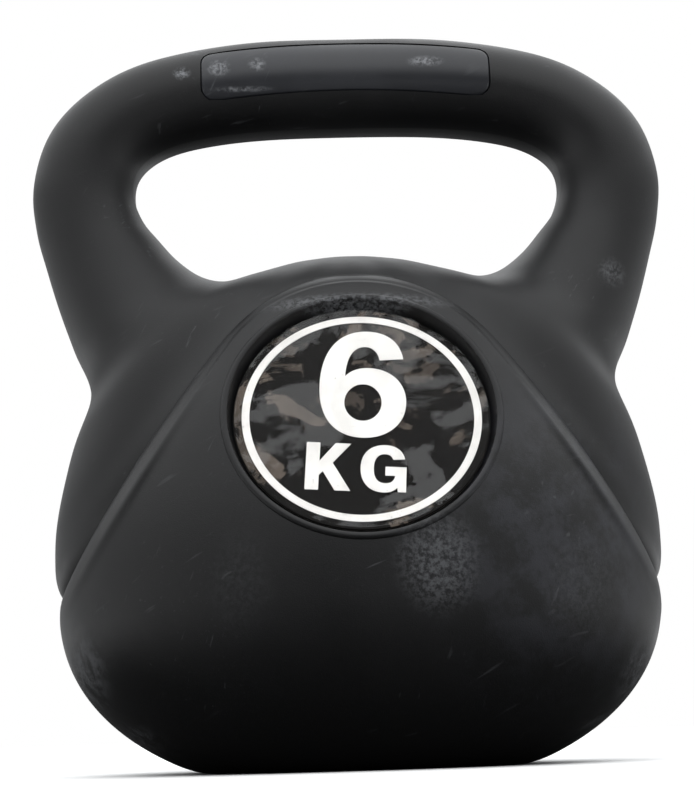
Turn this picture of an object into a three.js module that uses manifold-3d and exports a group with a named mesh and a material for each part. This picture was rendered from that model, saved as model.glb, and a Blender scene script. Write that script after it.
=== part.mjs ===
// Vinyl kettlebell: a one-piece blown plastic shell filled with cement mix,
// with a plug in the base, a smooth inlay on each side of the grip and a
// round weight label in a shallow recess on each face.
//
// Millimetres, +Z up. The origin is the middle of the base, where the
// kettlebell stands. X runs along the grip, and -Y is the front.

import * as THREE from 'three';
import { mergeVertices } from 'three/addons/utils/BufferGeometryUtils.js';
import Module from 'manifold-3d';

const wasm = await Module();
wasm.setup();

// ---------------------------------------------------------------- dimensions

// Belly: a flattened ball with a flat base.
const bellyHalfWidth = 90.7;
const bellyHalfDepth = 66;
const bellyWidestZ = 49;
const bellyBottomReach = 57; // from the widest height to where the ball would close
const bellyPlanPower = 2.2;
const bellyBottomPower = 2.17;

// Yoke: the closed loop of grip, horns and body that runs round the window.
const overallHeight = 228.5;
const gripThickness = 30.3;
const gripDepth = 30.6;
const handleHalfWidth = 98.5;
const handleWidestDrop = 46; // from the top of the grip to the widest height
const handleCornerPowers = [3.1, 1.85]; // across, up
const windowHalfWidth = 67;
const windowWidestDrop = 20.6; // from the underside of the grip
const windowCornerPowers = [2.9, 2.9];
const windowFloorDip = 7.6; // how far the saddles lie below the dome
const saddleX = 37;
const domeTopZ = 156.6;
const bellyTopZ = domeTopZ - 0.6;
const waistHalfWidth = 80.8;
const waistZ = 114.3;
const rootHalfWidth = 92.2;
const rootZ = 68;
const rootEndZ = 50;
const pinchLandWidth = 8.8; // flat strip that the mould leaves inside the window

// Bell-shaped edge of the apron, where the belly stands proud of the horns.
const apronArchRadius = 49;
const apronArchZ = 97;
const apronEndX = bellyHalfWidth - 0.2;
const apronEndZ = 50;

// Walls and clearances.
const wall = 3;
const baseWall = 4.5;
const clearance = 0.3;
const layerGap = 0.2;

// Fill plug.
const plugFlangeRadius = 17;
const plugFlangeThickness = 2;
const plugSink = 0.8;
const plugStemRadius = 12.5;
const plugStemLength = 9;
const plugBoreRadius = 9.5;

// Label recess and the layers in it.
const labelHeight = 98;
const recessDepth = 4.2;
const labelLean = 2.4; // degrees further back than the rim of the recess
const recessFloorRadius = 37;
const recessRimRadius = recessFloorRadius + 1.3;
const padThickness = 0.6;
const padRadius = recessFloorRadius - 0.6;
const faceThickness = 0.4;
const faceRadius = padRadius - 0.2;
const printThickness = 0.2;
const ringRadius = faceRadius - 2.2;
const ringLine = 2.2;
const lensRadius = faceRadius - 0.2;
const lensEdge = 0.5;
const lensCrown = 0.6;

// Figures on the label, from the label's centre, drawn for this ring radius.
const drawnRingRadius = 34;
const artworkTurn = -4.5; // degrees that the label is stuck on askew
const figureHeight = 36;
const figureBottom = -7.2;
const figureMiddle = 0;
const unitHeight = 15.2;
const unitBottom = -24.5;
const unitKLeft = -15.1;
const unitGLeft = 0.2;

// Grip inlay.
const inlayHalfLength = 45;
const inlayHalfHeight = 8.3;
const inlayCorner = 4;
const inlayArch = 2.6; // how far its long edges rise in the middle
const inlayPocket = 1.4;
const inlayThickness = 0.9;
const inlayInset = 0.25;

// Fineness of the curved surfaces.
const outerFineness = { around: 56, section: 20, rings: 14, plan: 40 };
const innerFineness = { around: 38, section: 12, rings: 9, plan: 26 };
const roundSegments = 40;

// ----------------------------------------------------------------- materials

const blackShell = new THREE.MeshStandardMaterial({ color: 0x17181a, roughness: 0.42, metalness: 0 });
const greyInlay = new THREE.MeshStandardMaterial({ color: 0x222327, roughness: 0.34, metalness: 0 });
const blackPlug = new THREE.MeshStandardMaterial({ color: 0x1b1b1c, roughness: 0.5, metalness: 0 });
const cement = new THREE.MeshStandardMaterial({ color: 0x8b8882, roughness: 0.95, metalness: 0 });
const foamPad = new THREE.MeshStandardMaterial({ color: 0x26241f, roughness: 0.9, metalness: 0 });
const labelBlack = new THREE.MeshStandardMaterial({ color: 0x0d0b0a, roughness: 0.25, metalness: 0 });
const labelPrint = new THREE.MeshStandardMaterial({ color: 0xd9d4c8, roughness: 0.4, metalness: 0 });
const clearLens = new THREE.MeshStandardMaterial({
  color: 0xf2f2f0, roughness: 0.05, metalness: 0, transparent: true, opacity: 0.25,
});

// ------------------------------------------------------------------- helpers

// A closed solid from points and triangles. Faces are turned outwards.
function solidFrom(points, triangles) {
  let sixVolumes = 0;
  for (const [a, b, c] of triangles) {
    const cross = new THREE.Vector3().crossVectors(points[b], points[c]);
    sixVolumes += points[a].dot(cross);
  }
  const outward = sixVolumes > 0 ? triangles : triangles.map(([a, b, c]) => [a, c, b]);
  return new wasm.Manifold(new wasm.Mesh({
    numProp: 3,
    vertProperties: new Float32Array(points.flatMap((p) => [p.x, p.y, p.z])),
    triVerts: new Uint32Array(outward.flat()),
  }));
}

// A three.js geometry as a solid.
function solidOf(geometry) {
  geometry.deleteAttribute('normal');
  geometry.deleteAttribute('uv');
  const merged = mergeVertices(geometry, 1e-4);
  const position = merged.getAttribute('position');
  const points = [];
  for (let i = 0; i < position.count; i += 1) {
    points.push(new THREE.Vector3().fromBufferAttribute(position, i));
  }
  const triangles = [];
  for (let i = 0; i < merged.index.count; i += 3) {
    const corner = [0, 1, 2].map((k) => merged.index.getX(i + k));
    if (new Set(corner).size === 3) triangles.push(corner);
  }
  return solidFrom(points, triangles);
}

// A solid as a named mesh.
function meshOf(name, solid, material) {
  const { vertProperties, triVerts } = solid.getMesh();
  const geometry = new THREE.BufferGeometry();
  geometry.setAttribute('position', new THREE.BufferAttribute(new Float32Array(vertProperties), 3));
  geometry.setIndex(new THREE.BufferAttribute(new Uint32Array(triVerts), 1));
  geometry.computeVertexNormals();
  const mesh = new THREE.Mesh(geometry, material);
  mesh.name = name;
  return mesh;
}

// Rings of points, each joined to the next. Closed rings wrap back to the
// first ring; open ones are capped with a point at each end.
function skin(rings, closed) {
  const count = rings[0].length;
  const points = rings.flat();
  const triangles = [];
  const last = closed ? rings.length : rings.length - 1;
  for (let i = 0; i < last; i += 1) {
    const here = i * count;
    const next = ((i + 1) % rings.length) * count;
    for (let j = 0; j < count; j += 1) {
      const k = (j + 1) % count;
      triangles.push([here + j, next + j, next + k], [here + j, next + k, here + k]);
    }
  }
  if (!closed) {
    for (const ring of [0, rings.length - 1]) {
      const centre = points.length;
      const sum = rings[ring].reduce((total, p) => total.add(p), new THREE.Vector3());
      points.push(sum.divideScalar(count));
      for (let j = 0; j < count; j += 1) {
        const a = ring * count + j;
        const b = ring * count + ((j + 1) % count);
        triangles.push(ring === 0 ? [centre, a, b] : [centre, b, a]);
      }
    }
  }
  return solidFrom(points, triangles);
}

// A turned solid about local Z from a profile of [radius, height] pairs that
// starts and ends on the axis.
function turned(profile, segments) {
  const points = profile.map(([radius, height]) => new THREE.Vector2(radius, height));
  const geometry = new THREE.LatheGeometry(points, segments);
  return solidOf(geometry.rotateX(Math.PI / 2));
}

// A flat outline in X and Y, from height z0 up to z1.
function plate(shape, z0, z1, curveSegments = 6) {
  const geometry = new THREE.ExtrudeGeometry(shape, { depth: z1 - z0, bevelEnabled: false, curveSegments });
  return solidOf(geometry.translate(0, 0, z0));
}

// A front-view outline in X and Z, from y0 back to y1.
function curtain(shape, y0, y1, curveSegments = 12) {
  const geometry = new THREE.ExtrudeGeometry(shape, { depth: y1 - y0, bevelEnabled: false, curveSegments });
  return solidOf(geometry.rotateX(Math.PI / 2).translate(0, y1, 0));
}

// ---------------------------------------------------------------- main shape

const mix = THREE.MathUtils.lerp;

// A point on a rounded corner: angle 0 is the top middle, 90 the widest side.
function cornerPoint(halfWidth, widestZ, height, [powerAcross, powerUp], degrees) {
  const angle = THREE.MathUtils.degToRad(degrees);
  const x = halfWidth * Math.sin(angle) ** (2 / powerAcross);
  const z = widestZ + height * Math.cos(angle) ** (2 / powerUp);
  return [x, z];
}

// Stations round the right half of the loop, from the top of the grip to the
// bottom: a point on the window's edge, a point on the outer edge, and half
// the depth of the section between them.
function yokeStations() {
  const handleWidestZ = overallHeight - handleWidestDrop;
  const windowTopZ = overallHeight - gripThickness;
  const windowWidestZ = windowTopZ - windowWidestDrop;
  const window = (degrees) => (
    cornerPoint(windowHalfWidth, windowWidestZ, windowWidestDrop, windowCornerPowers, degrees));
  const handle = (degrees) => (
    cornerPoint(handleHalfWidth, handleWidestZ, handleWidestDrop, handleCornerPowers, degrees));
  const saddleZ = domeTopZ - windowFloorDip;
  // Down the window's side: shares of the way from its widest point to the saddle.
  const windowSide = (across, down) => (
    [mix(windowHalfWidth, saddleX, across), mix(windowWidestZ, saddleZ, down)]);
  // Up from the saddle to the top of the dome.
  const domeSide = (across, up) => [mix(saddleX, 0, across), mix(saddleZ, domeTopZ, up)];
  // Down the horn's outside from its widest point to the waist.
  const hornSide = (inwards, down) => (
    [mix(handleHalfWidth, waistHalfWidth, inwards), mix(handleWidestZ, waistZ, down)]);
  // Down the horn's root from the waist to its widest point.
  const rootSide = (outwards, down) => (
    [mix(waistHalfWidth, rootHalfWidth, outwards), mix(waistZ, rootZ, down)]);
  const half = gripDepth / 2;
  return [
    [window(0), handle(0), half],
    [window(16), handle(10), half],
    [window(37), handle(29), half],
    [window(56), handle(47), half],
    [window(76), handle(66.5), half + 0.2],
    [[windowHalfWidth, windowWidestZ], [handleHalfWidth, handleWidestZ], half + 0.7],
    [windowSide(0.09, 0.28), hornSide(0.055, 0.216), half + 1.7],
    [windowSide(0.25, 0.5), hornSide(0.23, 0.395), half + 3.5],
    [windowSide(0.45, 0.74), hornSide(0.45, 0.59), half + 6.5],
    [windowSide(0.71, 0.935), hornSide(0.71, 0.784), half + 10.7],
    [[saddleX, saddleZ], [waistHalfWidth, waistZ], half + 16.7],
    [domeSide(0.27, 0.39), rootSide(0.57, 0.42), half + 20.2],
    [domeSide(0.55, 0.79), [rootHalfWidth, rootZ], half + 23.2],
    [domeSide(0.76, 0.94), [rootHalfWidth - 5.5, rootEndZ], half + 27.4],
    [domeSide(0.89, 1), [saddleX * 1.4, rootEndZ - 3], half + 27.4],
    [[0, domeTopZ], [0, rootEndZ + 1], half + 28.9],
  ];
}

// Each point of a closed run moved sideways by a distance.
function offsetRun(points, distance) {
  return points.map((point, i) => {
    const before = points[(i + points.length - 1) % points.length];
    const after = points[(i + 1) % points.length];
    const length = Math.hypot(after.x - before.x, after.y - before.y);
    const normalX = (after.y - before.y) / length;
    const normalZ = (before.x - after.x) / length;
    return new THREE.Vector2(point.x + normalX * distance, point.y + normalZ * distance);
  });
}

// The loop as a solid, with its whole surface moved in by an inset.
function yokeSolid(inset, fineness) {
  const right = yokeStations();
  const left = right.slice(1, -1).reverse().map(([[ix, iz], [ox, oz], half]) => (
    [[-ix, iz], [-ox, oz], half]));
  const stations = [...right, ...left];
  const closedCurve = (points) => new THREE.CatmullRomCurve3(points, true, 'catmullrom', 0.5);
  const innerCurve = closedCurve(stations.map(([inner]) => new THREE.Vector3(...inner, 0)));
  const outerCurve = closedCurve(stations.map(([, outer, half]) => new THREE.Vector3(...outer, half)));
  const shares = Array.from({ length: fineness.around }, (_, i) => i / fineness.around);
  const inner = offsetRun(shares.map((share) => innerCurve.getPoint(share)), -inset);
  const outer = offsetRun(shares.map((share) => outerCurve.getPoint(share)), inset);
  const rings = shares.map((share, i) => {
    const half = outerCurve.getPoint(share).z - inset;
    const landHalf = Math.max(pinchLandWidth / 2 - inset * 0.5, 1);
    const landAngle = Math.asin(landHalf / half);
    const ring = [];
    for (let j = 0; j <= fineness.section; j += 1) {
      const angle = mix(landAngle, 2 * Math.PI - landAngle, j / fineness.section);
      const across = (Math.cos(landAngle) - Math.cos(angle)) / (Math.cos(landAngle) + 1);
      ring.push(new THREE.Vector3(
        mix(inner[i].x, outer[i].x, across), half * Math.sin(angle), mix(inner[i].y, outer[i].y, across)));
    }
    return ring;
  });
  return skin(rings, true);
}

// The belly as a solid, moved in by an inset, with its flat floor at floorZ.
function bellySolid(inset, floorZ, fineness) {
  const reachUp = bellyTopZ - bellyWidestZ - inset;
  const reachDown = bellyBottomReach - inset;
  const lowAngle = Math.asin(((bellyWidestZ - floorZ) / reachDown) ** (bellyBottomPower / 2));
  const rings = [];
  for (let i = 0; i < fineness.rings; i += 1) {
    const angle = mix(-lowAngle, Math.PI / 2 - 0.05, i / (fineness.rings - 1));
    const below = angle < 0;
    const power = below ? bellyBottomPower : 2;
    const rise = Math.abs(Math.sin(angle)) ** (2 / power) * (below ? -reachDown : reachUp);
    const spread = Math.cos(angle) ** (2 / power);
    const ring = [];
    for (let j = 0; j < fineness.plan; j += 1) {
      const turn = (2 * Math.PI * j) / fineness.plan;
      const c = Math.cos(turn);
      const s = Math.sin(turn);
      ring.push(new THREE.Vector3(
        (bellyHalfWidth - inset) * spread * Math.sign(c) * Math.abs(c) ** (2 / bellyPlanPower),
        (bellyHalfDepth - inset) * spread * Math.sign(s) * Math.abs(s) ** (2 / bellyPlanPower),
        bellyWidestZ + rise));
    }
    rings.push(ring);
  }
  return skin(rings, false);
}

// Everything under the apron's bell-shaped edge, as a curtain cut through Y.
function underApron(inset) {
  const radius = apronArchRadius - inset;
  const endX = apronEndX;
  const endZ = apronEndZ - inset;
  const toEnd = Math.hypot(endX, endZ - apronArchZ);
  const tangentAngle = Math.atan2(endZ - apronArchZ, endX) + Math.acos(radius / toEnd);
  const outside = bellyHalfWidth * 2;
  const shape = new THREE.Shape();
  shape.moveTo(-outside, -bellyBottomReach);
  shape.lineTo(outside, -bellyBottomReach);
  shape.lineTo(outside, endZ);
  shape.lineTo(endX, endZ);
  shape.absarc(0, apronArchZ, radius, tangentAngle, Math.PI - tangentAngle, false);
  shape.lineTo(-endX, endZ);
  shape.lineTo(-outside, endZ);
  shape.closePath();
  return curtain(shape, -bellyHalfDepth * 2, bellyHalfDepth * 2, 20);
}

// The whole outer form, moved in by an inset.
function bodyForm(inset, floorZ, fineness) {
  const apron = bellySolid(inset, floorZ, fineness).intersect(underApron(inset));
  return apron.add(yokeSolid(inset, fineness));
}

// --------------------------------------------------------------------- label

// How far the belly reaches from the middle plane at a place in front view.
function bellyDepth(x, z) {
  const level = Math.sqrt(1 - ((z - bellyWidestZ) / (bellyTopZ - bellyWidestZ)) ** 2);
  const across = Math.abs(x) / (bellyHalfWidth * level);
  return bellyHalfDepth * level * (1 - across ** bellyPlanPower) ** (1 / bellyPlanPower);
}

// The label's own frame: its middle on the recess floor, local Z outwards.
// The recess lies parallel to the rim that it cuts in the belly.
function labelFrame(side) {
  const lowRim = bellyDepth(0, labelHeight - recessFloorRadius);
  const highRim = bellyDepth(0, labelHeight + recessFloorRadius);
  const lean = THREE.MathUtils.degToRad(labelLean);
  const tilt = Math.atan2(lowRim - highRim, 2 * recessFloorRadius) + lean;
  const distance = bellyDepth(recessRimRadius, labelHeight) - recessDepth / Math.cos(tilt);
  const frame = new THREE.Matrix4().makeTranslation(0, -distance, labelHeight);
  frame.multiply(new THREE.Matrix4().makeRotationX(Math.PI / 2 - tilt));
  const turn = new THREE.Matrix4().makeRotationZ(side === 'front' ? 0 : Math.PI);
  return turn.multiply(frame);
}

// A solid made in the label's frame, put in its place.
function placed(solid, side) {
  return solid.transform(labelFrame(side).toArray());
}

function recessCutter() {
  const slopeTop = recessDepth;
  const clearAbove = bellyHalfDepth;
  return turned([
    [0, 0],
    [recessFloorRadius, 0],
    [recessRimRadius, slopeTop],
    [recessRimRadius, clearAbove],
    [0, clearAbove],
  ], roundSegments);
}

// The room that the recess and its wall take from the hollow inside.
function recessWall(thickness) {
  return turned([
    [0, -thickness],
    [recessFloorRadius + thickness, -thickness],
    [recessRimRadius + thickness, recessDepth],
    [recessRimRadius + thickness, bellyHalfDepth],
    [0, bellyHalfDepth],
  ], roundSegments);
}

function disc(radius, bottom, top) {
  return turned([[0, bottom], [radius, bottom], [radius, top], [0, top]], roundSegments);
}

function lensSolid(bottom) {
  const crownSteps = 3;
  const profile = [[0, bottom], [lensRadius, bottom]];
  for (let i = 0; i < crownSteps; i += 1) {
    const share = 1 - i / crownSteps;
    profile.push([lensRadius * share, bottom + lensEdge + lensCrown * (1 - share ** 2)]);
  }
  profile.push([0, bottom + lensEdge + lensCrown]);
  return turned(profile, roundSegments);
}

// Bold figure 6 on a grid 24.9 wide and 36 high.
function figureSix() {
  const shape = new THREE.Shape();
  shape.moveTo(16.9, 26.2);
  shape.bezierCurveTo(16.4, 29, 14.8, 30.6, 12.7, 30.6);
  shape.bezierCurveTo(9, 30.6, 7.3, 26.4, 7.2, 20.3);
  shape.bezierCurveTo(8.6, 22.2, 11, 23.4, 13.9, 23.4);
  shape.bezierCurveTo(20.2, 23.4, 24.9, 18.9, 24.9, 12);
  shape.bezierCurveTo(24.9, 4.9, 19.8, 0, 12.8, 0);
  shape.bezierCurveTo(4.9, 0, 0, 6, 0, 17.2);
  shape.bezierCurveTo(0, 28.9, 4.9, 36, 13.2, 36);
  shape.bezierCurveTo(19, 36, 22.8, 32.6, 23.7, 26.9);
  shape.closePath();
  const bowl = new THREE.Path();
  bowl.absellipse(12.6, 11.7, 5.3, 6.1, 0, 2 * Math.PI, false);
  shape.holes.push(bowl);
  return { shape, width: 24.9, height: 36 };
}

// Bold K on a grid 13.4 wide and 16 high.
function letterK() {
  const outline = [
    [0, 0], [4, 0], [4, 5], [5.1, 6.3], [8.8, 0], [13.4, 0],
    [7.9, 9.3], [13.1, 16], [8.5, 16], [4, 9.8], [4, 16], [0, 16],
  ];
  return { shape: new THREE.Shape(outline.map(([x, y]) => new THREE.Vector2(x, y))), height: 16 };
}

// Bold G on a grid 13.5 wide and 16 high.
function letterG() {
  const shape = new THREE.Shape();
  shape.moveTo(13, 11.4);
  shape.bezierCurveTo(12.4, 14.4, 10.2, 16, 7.1, 16);
  shape.bezierCurveTo(2.8, 16, 0, 13, 0, 8.1);
  shape.bezierCurveTo(0, 3.1, 2.7, 0, 6.9, 0);
  shape.bezierCurveTo(8.7, 0, 10.1, 0.6, 10.9, 1.8);
  shape.lineTo(11.1, 0.3);
  shape.lineTo(13.5, 0.3);
  shape.lineTo(13.5, 8.7);
  shape.lineTo(7.3, 8.7);
  shape.lineTo(7.3, 5.7);
  shape.lineTo(10.2, 5.7);
  shape.bezierCurveTo(10, 3.9, 8.9, 3.1, 7.3, 3.1);
  shape.bezierCurveTo(5, 3.1, 3.9, 4.9, 3.9, 8.1);
  shape.bezierCurveTo(3.9, 11.2, 5, 12.9, 7.1, 12.9);
  shape.bezierCurveTo(8.4, 12.9, 9.2, 12.3, 9.5, 11.1);
  shape.closePath();
  return { shape, height: 16 };
}

// A glyph scaled to its height on the label, as a thin print.
function printed(glyph, height, left, bottom, z0) {
  const artwork = ringRadius / drawnRingRadius;
  const scale = (artwork * height) / glyph.height;
  const solid = plate(glyph.shape, z0, z0 + printThickness, 5);
  const place = [artwork * left, artwork * bottom, 0];
  return solid.scale([scale, scale, 1]).translate(place).rotate([0, 0, artworkTurn]);
}

function labelPieces(side) {
  const padBottom = layerGap;
  const faceBottom = padBottom + padThickness + layerGap;
  const printBottom = faceBottom + faceThickness + layerGap;
  const lensBottom = printBottom + printThickness + layerGap;
  const ring = disc(ringRadius, printBottom, printBottom + printThickness)
    .subtract(disc(ringRadius - ringLine, 0, lensBottom));
  const six = figureSix();
  const sixLeft = figureMiddle - (six.width * figureHeight) / six.height / 2;
  const pieces = {
    pad: [disc(padRadius, padBottom, padBottom + padThickness), foamPad],
    face: [disc(faceRadius, faceBottom, faceBottom + faceThickness), labelBlack],
    ring: [ring, labelPrint],
    figure_6: [printed(six, figureHeight, sixLeft, figureBottom, printBottom), labelPrint],
    letter_k: [printed(letterK(), unitHeight, unitKLeft, unitBottom, printBottom), labelPrint],
    letter_g: [printed(letterG(), unitHeight, unitGLeft, unitBottom, printBottom), labelPrint],
    lens: [lensSolid(lensBottom), clearLens],
  };
  return Object.entries(pieces).map(([name, [solid, material]]) => (
    meshOf(`${side}_label_${name}`, placed(solid, side), material)));
}

// ---------------------------------------------------------------- grip inlay

// The inlay's outline on the grip, grown by a margin, on one side of the grip.
function inlayRegion(side, margin) {
  const middleZ = overallHeight - gripThickness / 2;
  const x = inlayHalfLength + margin;
  const z = inlayHalfHeight + margin;
  const r = inlayCorner + margin;
  const shape = new THREE.Shape();
  shape.moveTo(-x + r, middleZ - z);
  shape.quadraticCurveTo(0, middleZ - z + 2 * inlayArch, x - r, middleZ - z);
  shape.absarc(x - r, middleZ - z + r, r, -Math.PI / 2, 0, false);
  shape.absarc(x - r, middleZ + z - r, r, 0, Math.PI / 2, false);
  shape.quadraticCurveTo(0, middleZ + z + 2 * inlayArch, -x + r, middleZ + z);
  shape.absarc(-x + r, middleZ + z - r, r, Math.PI / 2, Math.PI, false);
  shape.absarc(-x + r, middleZ - z + r, r, Math.PI, 1.5 * Math.PI, false);
  return side === 'front' ? curtain(shape, -gripDepth, -gripDepth / 8, 6)
    : curtain(shape, gripDepth / 8, gripDepth, 6);
}

function inlayPieces() {
  const top = yokeSolid(inlayInset, outerFineness);
  const under = yokeSolid(inlayInset + inlayThickness, outerFineness);
  return ['front', 'back'].map((side) => {
    const inlay = inlayRegion(side, 0).intersect(top).subtract(under);
    return meshOf(`${side}_grip_inlay`, inlay, greyInlay);
  });
}

// ---------------------------------------------------------------------- plug

const plugFlangeTop = plugSink + plugFlangeThickness;

function plugSolid() {
  return turned([
    [0, plugFlangeTop],
    [plugBoreRadius, plugFlangeTop],
    [plugBoreRadius, plugSink],
    [plugFlangeRadius, plugSink],
    [plugFlangeRadius, plugFlangeTop],
    [plugStemRadius, plugFlangeTop],
    [plugStemRadius, plugSink + plugStemLength - 1.2],
    [plugStemRadius - 1, plugSink + plugStemLength],
    [0, plugSink + plugStemLength],
  ], roundSegments);
}

function plugHole() {
  const seat = disc(plugFlangeRadius + clearance, -1, plugFlangeTop + clearance);
  const throat = disc(plugStemRadius + clearance, -1, plugSink + plugStemLength + clearance);
  return seat.add(throat);
}

// The collar that thickens the base round the plug.
function plugCollar(thickness) {
  return disc(plugFlangeRadius + clearance + thickness, 0, plugFlangeTop + clearance + thickness);
}

// ------------------------------------------------------------ shell and fill

// The hollow inside the shell, and the cement that fills it a clearance smaller.
function hollow(gap) {
  return bodyForm(wall + gap, baseWall + gap, innerFineness)
    .subtract(placed(recessWall(wall + gap), 'front'))
    .subtract(placed(recessWall(wall + gap), 'back'))
    .subtract(plugCollar(wall + gap));
}

function shellSolid() {
  const pocketFloor = yokeSolid(inlayPocket, outerFineness);
  const pockets = ['front', 'back'].map((side) => (
    inlayRegion(side, clearance).subtract(pocketFloor)));
  return bodyForm(0, 0, outerFineness)
    .subtract(placed(recessCutter(), 'front'))
    .subtract(placed(recessCutter(), 'back'))
    .subtract(pockets[0])
    .subtract(pockets[1])
    .subtract(hollow(0))
    .subtract(plugHole());
}

function ballastSolid() {
  const stemRoom = disc(plugStemRadius + 2 * clearance, 0, plugSink + plugStemLength + 2 * clearance);
  return hollow(clearance).subtract(stemRoom);
}

// ------------------------------------------------------------------ assembly

const kettlebell = new THREE.Group();
kettlebell.name = 'kettlebell';
kettlebell.add(
  meshOf('shell', shellSolid(), blackShell),
  meshOf('ballast_fill', ballastSolid(), cement),
  meshOf('fill_plug', plugSolid(), blackPlug),
  ...inlayPieces(),
  ...labelPieces('front'),
  ...labelPieces('back'),
);

export default kettlebell;
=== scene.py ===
"""Kettlebell: a blown plastic shell with a cement fill, grip inlays and weight labels."""

import math

import bmesh
import bpy
import numpy as np
from mathutils import Matrix, Vector


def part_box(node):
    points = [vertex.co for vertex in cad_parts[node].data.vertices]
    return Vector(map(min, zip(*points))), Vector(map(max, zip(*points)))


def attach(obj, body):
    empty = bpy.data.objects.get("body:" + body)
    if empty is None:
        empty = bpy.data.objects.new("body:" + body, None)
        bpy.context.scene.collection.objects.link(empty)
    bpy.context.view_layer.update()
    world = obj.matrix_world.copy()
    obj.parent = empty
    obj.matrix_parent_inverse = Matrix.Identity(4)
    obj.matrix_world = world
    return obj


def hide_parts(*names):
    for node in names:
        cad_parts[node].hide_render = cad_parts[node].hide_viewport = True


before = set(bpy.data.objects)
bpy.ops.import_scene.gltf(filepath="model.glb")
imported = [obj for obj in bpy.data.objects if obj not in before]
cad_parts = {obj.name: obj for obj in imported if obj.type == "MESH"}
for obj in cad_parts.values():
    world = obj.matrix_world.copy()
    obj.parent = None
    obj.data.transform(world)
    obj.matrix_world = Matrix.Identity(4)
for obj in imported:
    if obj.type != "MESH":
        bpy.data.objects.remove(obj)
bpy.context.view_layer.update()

bl_info = {
    "name": "Plastic Kettlebell",
    "version": (1, 0, 0),
    "blender": (4, 5, 0),
    "location": "3D Viewport > Sidebar > Kettlebell",
    "description": "Builds a cement-filled plastic kettlebell round its packed frame",
    "category": "Add Mesh",
}

MM = 0.001

SIDES = ("front", "back")

SHELL_HIGH = Vector(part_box("shell")[1])
INLAY_LOW, INLAY_HIGH = (Vector(corner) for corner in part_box("front_grip_inlay"))
FACE_LOW, FACE_HIGH = (Vector(corner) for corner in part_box("front_label_face"))
RING_LOW, RING_HIGH = (Vector(corner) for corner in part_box("front_label_ring"))
LENS_LOW, LENS_HIGH = (Vector(corner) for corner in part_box("front_label_lens"))
PLUG_LOW, PLUG_HIGH = (Vector(corner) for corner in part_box("fill_plug"))


# ------------------------------------------------------------------ properties

def length(name, description, default):
    return bpy.props.FloatProperty(
        name=name, description=description, default=default, unit="LENGTH")


def brightness(name, description, default, unit="NONE"):
    return bpy.props.FloatProperty(
        name=name, description=description, default=default, min=0, unit=unit)


def colour(name, description, default):
    return bpy.props.FloatVectorProperty(
        name=name, description=description, default=default,
        subtype="COLOR", size=3, min=0, max=1)


class KETTLEBELL_PG_shell(bpy.types.PropertyGroup):
    height: length("Height", "Base to the top of the grip", SHELL_HIGH.z)
    handle_half_width: length(
        "Handle half width", "Middle to the widest point of the horns", 98.5 * MM)
    handle_widest_drop: length(
        "Handle drop", "Top of the grip to the horns' widest height", 46 * MM)
    grip_thickness: length("Grip thickness", "Height of the grip's section", 30.3 * MM)
    grip_depth: length("Grip depth", "Depth of the grip's section", 30.6 * MM)
    window_half_width: length(
        "Window half width", "Middle to the side of the hand window", 67 * MM)
    window_widest_drop: length(
        "Window drop", "Underside of the grip to the window's widest height", 20.6 * MM)
    dome_top: length("Dome top", "Height of the dome inside the window", 156.6 * MM)
    saddle_dip: length("Saddle dip", "How far the saddles lie below the dome", 7.6 * MM)
    saddle_x: length("Saddle place", "Middle to the lowest point of a saddle", 37 * MM)
    waist_half_width: length(
        "Waist half width", "Middle to the waist under the horns", 80.8 * MM)
    waist_z: length("Waist height", "Height of the waist", 114.3 * MM)
    root_half_width: length(
        "Root half width", "Middle to the widest point of a horn's root", 92.2 * MM)
    root_z: length("Root height", "Height of the root's widest point", 68 * MM)
    root_end_z: length("Root end", "Height at which the root runs out", 50 * MM)
    land_width: length("Pinch land", "Flat strip round the inside of the window", 8.8 * MM)
    belly_half_width: length("Belly half width", "Middle to the belly's side", 90.7 * MM)
    belly_half_depth: length("Belly half depth", "Middle to the belly's front", SHELL_HIGH.y)
    belly_widest_z: length("Belly height", "Height at which the belly is widest", 49 * MM)
    belly_bottom_reach: length(
        "Belly reach", "Widest height down to where the ball would close", 57 * MM)
    apron_radius: length("Apron radius", "Radius of the apron's arch", 49 * MM)
    apron_z: length("Apron height", "Height of the arch's centre", 97 * MM)
    apron_end_z: length(
        "Apron end", "Height at which the apron's edge reaches the side", 50 * MM)
    lip_radius: length("Apron lip", "Roundness of the apron's edge", 3.6 * MM)
    step_rise: length(
        "Arch step", "Rise of the second line inside the apron's arch", 0.45 * MM)
    rib_rise: length("Edge rib", "Rise of the rib along the apron's straight edges", 0.8 * MM)
    inlay_arch: length("Inlay arch", "Rise of the inlay's long edges in the middle", 2.6 * MM)
    wall: length("Wall", "Thickness of the plastic", 3 * MM)
    base_wall: length("Base wall", "Thickness of the plastic under the fill", 4.5 * MM)


class KETTLEBELL_PG_label(bpy.types.PropertyGroup):
    recess_depth: length("Recess depth", "Rim down to the recess floor", 4.2 * MM)
    recess_floor_radius: length("Recess radius", "Radius of the recess floor", 37 * MM)
    rim_slope: length("Rim slope", "How much wider the rim is than the floor", 1.3 * MM)
    bead_radius: length("Bead", "Roundness of the bead round the recess", 1.3 * MM)
    floor_below_face: length(
        "Face height", "Middle of the printed face above the recess floor", 1.2 * MM)
    ring_line: length("Ring line", "Width of the pale ring", 2.2 * MM)


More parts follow.
